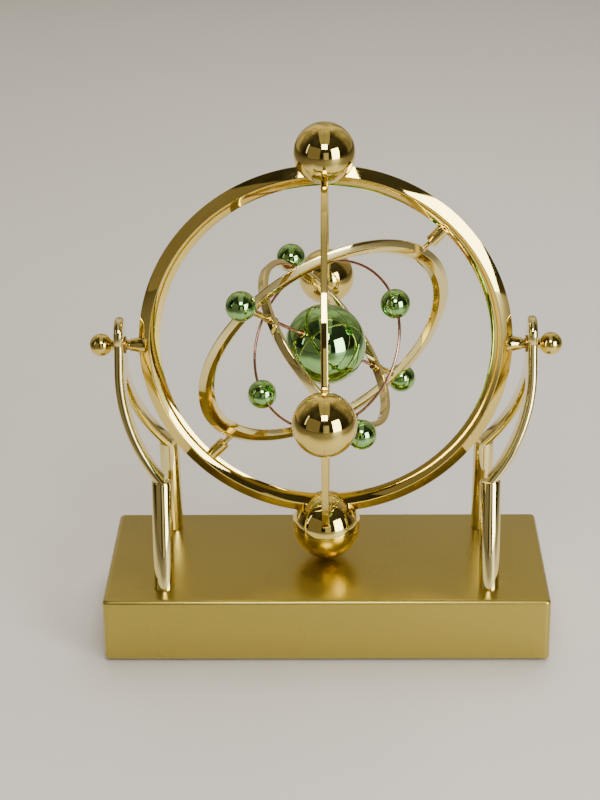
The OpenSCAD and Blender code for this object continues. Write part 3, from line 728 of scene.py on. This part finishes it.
make_base()
make_knob()
for side, word in ((-1, "left"), (1, "right")):
    make_stand(side, f"{word}_stand_plated", f"{word}_stand")
    make_bush(side, f"{word}_bush_turned", f"{word}_bush")
    make_axle(side, f"{word}_axle_plated", f"{word}_axle")
    make_end_ball(side, f"{word}_end_ball_plated", f"{word}_end_ball")
make_main_ring()
make_hoop(-1, "front_hoop_plated", "front_hoop")
make_hoop(1, "back_hoop_plated", "back_hoop")
make_ball("top_ball_plated", Z * BALL_AT, X, BALL_R, ["top_ball"])
make_ball("front_ball_plated", -Y * BALL_AT, X, BALL_R, ["front_ball"])
make_ball("back_ball_plated", Y * BALL_AT, X, BALL_R, ["back_ball"])
make_ball_half(1, "bottom_ball_top_half", -Z * LOW_BALL_AT, LOW_BALL_R, GOLD, "bottom_ball_upper")
make_ball_half(-1, "bottom_ball_low_half", -Z * LOW_BALL_AT, LOW_BALL_R, SATIN_GOLD, "bottom_ball_lower")
make_socket(1, "upper_socket_turned", "upper_socket")
make_socket(-1, "lower_socket_turned", "lower_socket")
make_orbit_ring()
make_pivot(1, "upper_pivot_turned", "upper_pivot")
make_pivot(-1, "lower_pivot_turned", "lower_pivot")
make_small_ball("near_planet_plated", PLANET_AXIS * PLANET_AT, PLANET_AXIS, ROD_R, "orbit", "near_planet")
make_small_ball("far_planet_plated", -PLANET_AXIS * PLANET_AT, PLANET_AXIS, ROD_R, "orbit", "far_planet")
make_rod()
make_core()
make_inner_ring()
make_small_ball("upper_moon_plated", -MOON_AXIS * MOON_AT, MOON_AXIS, MOON_PIN_R, "inner", "upper_moon")
make_small_ball("lower_moon_plated", MOON_AXIS * MOON_AT, MOON_AXIS, MOON_PIN_R, "inner", "lower_moon")
make_moon_pins()
make_wire_ring()
make_bead(1, "right_bead_plated", "right_bead")
make_bead(-1, "left_bead_plated", "left_bead")

LOOKS = {
    BROWN: ["base_plate", "battery_door"],
    BLACK: ["battery_tray", "switch_body", "board_components"],
    RUBBER: ["rubber_feet"],
    STEEL: ["plate_screws", "post_screws", "battery_contacts", "coil_core", "drive_magnet"],
    NYLON: ["coil_bobbin"],
    WINDING: ["coil_winding"],
    BOARD: ["circuit_board"],
    SLEEVE: ["batteries"],
    LEAD: ["lead_wires"],
}
for look, names in LOOKS.items():
    for name in names:
        node = frame["nodes"][name]
        for slot in node.material_slots:
            slot.material = look

# ---- Floor, light and sky ------------------------------------------------------------------------


def make_floor():
    """A plain pale floor as the camera sees it. For all other rays its colour is darkened beside and in front
    of the model: painted shade that the metal reflects.

    The pale area that it reflects is a strip from 17 cm in front of the centre to far behind it,
    24 cm to each side of the centre and wider towards the back.
    """
    bm = bmesh.new()
    bmesh.ops.create_grid(bm, x_segments=4, y_segments=4, size=6)
    mesh = bpy.data.meshes.new("floor")
    bm.to_mesh(mesh)
    bm.free()
    made, tree, shader, place = material("floor", roughness=0.55)
    pale = ramp(tree, noise(tree, place, 2), (0.74, 0.69, 0.62), (0.78, 0.73, 0.66))
    split = tree.nodes.new("ShaderNodeSeparateXYZ")
    tree.links.new(place, split.inputs["Vector"])
    in_front = maths(tree, "ADD", split.outputs["Y"], 0.17)
    half_width = maths(tree, "MULTIPLY_ADD", split.outputs["Y"], 0.2, 0.24)
    beside = maths(tree, "SUBTRACT", half_width, maths(tree, "ABSOLUTE", split.outputs["X"]))
    inside = maths(tree, "MINIMUM", in_front, beside)
    # Painted shade: outside the strip the floor's colour fades to a quarter of its pale tone, for every ray
    # but camera rays.
    depth = spread(tree, inside, 0.25, 1.0, start=-0.24, end=0.0, smooth=True)
    seen = tree.nodes.new("ShaderNodeLightPath").outputs["Is Camera Ray"]
    shade = scaled(tree, pale, maths(tree, "MAXIMUM", depth, seen))
    tree.links.new(shade, shader.inputs["Base Color"])
    mesh.materials.append(made)
    floor = bpy.data.objects.new("floor", mesh)
    floor.location.z = -0.0005
    bpy.context.scene.collection.objects.link(floor)


def softbox(name, azimuth, elevation, distance, size, power, colour=(1, 1, 1), mirrored=True):
    """A rectangular light aimed at the centre. Azimuth 0 is in front and turns to the right."""
    a, e = math.radians(azimuth), math.radians(elevation)
    towards = Vector((math.sin(a) * math.cos(e), -math.cos(a) * math.cos(e), math.sin(e)))
    data = bpy.data.lights.new(name, "AREA")
    data.shape = "RECTANGLE"
    data.size, data.size_y = size
    data.energy = power
    data.color = colour
    light = bpy.data.objects.new(name, data)
    turn = towards.to_track_quat("Z", "Y").to_matrix().to_4x4()
    light.matrix_world = Matrix.Translation(CENTRE + towards * distance) @ turn
    light.visible_glossy = mirrored
    bpy.context.scene.collection.objects.link(light)


def make_sky():
    """A plain pale studio. The metal reflects it dim in front and lighter behind, with upright shapes."""
    world = bpy.context.scene.world or bpy.data.worlds.new("world")
    bpy.context.scene.world = world
    world.use_nodes = True
    tree = world.node_tree
    tree.nodes.clear()
    place = tree.nodes.new("ShaderNodeTexCoord")
    split = tree.nodes.new("ShaderNodeSeparateXYZ")
    tree.links.new(place.outputs["Generated"], split.inputs["Vector"])
    depth = spread(tree, split.outputs["Y"], 0.0, 1.0, start=-0.1, end=0.75, smooth=True)
    back = ramp(tree, depth, (0.05, 0.045, 0.035), (0.80, 0.69, 0.50), 0.0, 1.0)
    stretch = tree.nodes.new("ShaderNodeMapping")
    stretch.inputs["Scale"].default_value = (1.0, 1.0, 0.3)
    tree.links.new(place.outputs["Generated"], stretch.inputs["Vector"])
    uneven = noise(tree, stretch.outputs["Vector"], 3.2, 2)
    shapes = ramp(tree, uneven, (0.7, 0.7, 0.7), (1.3, 1.3, 1.3), 0.42, 0.56)
    shade = tree.nodes.new("ShaderNodeMix")
    shade.data_type = "RGBA"
    shade.blend_type = "MULTIPLY"
    shade.inputs[0].default_value = 1.0
    tree.links.new(back, shade.inputs[6])
    tree.links.new(shapes, shade.inputs[7])
    rise = spread(tree, split.outputs["Z"], 0.6, 1.3, start=0.2, end=0.8)
    plain = tree.nodes.new("ShaderNodeMix")
    plain.data_type = "RGBA"
    tree.links.new(tree.nodes.new("ShaderNodeLightPath").outputs["Is Camera Ray"], plain.inputs[0])
    tree.links.new(scaled(tree, shade.outputs[2], rise), plain.inputs[6])
    plain.inputs[7].default_value = (0.72, 0.67, 0.60, 1.0)
    room = tree.nodes.new("ShaderNodeBackground")
    tree.links.new(plain.outputs[2], room.inputs["Color"])
    room.inputs["Strength"].default_value = 0.8
    output = tree.nodes.new("ShaderNodeOutputWorld")
    tree.links.new(room.outputs["Background"], output.inputs["Surface"])


make_floor()
make_sky()

# Name, azimuth and elevation in degrees, distance and size in metres, power in watts, colour.
WARM_WHITE, AMBER = (1.0, 0.93, 0.75), (1.0, 0.86, 0.62)
softbox("key", 43, 12, 1.5, (0.75, 1.0), 26)
softbox("small_key", 1, 42.5, 0.9, (0.29, 0.27), 3.6)
softbox("left_edge", -70, 22, 1.8, (0.12, 0.9), 0.8)
softbox("upper_panel", 3, 78, 1.5, (0.85, 1.7), 1.7, WARM_WHITE)
softbox("left_panel", -40, 15, 1.7, (1.5, 1.2), 1.1, AMBER)
softbox("low_panel", 6, 6, 1.5, (0.5, 0.7), 0.6, WARM_WHITE)
softbox("fill", 160, 62, 1.4, (1.3, 1.3), 17, mirrored=False)
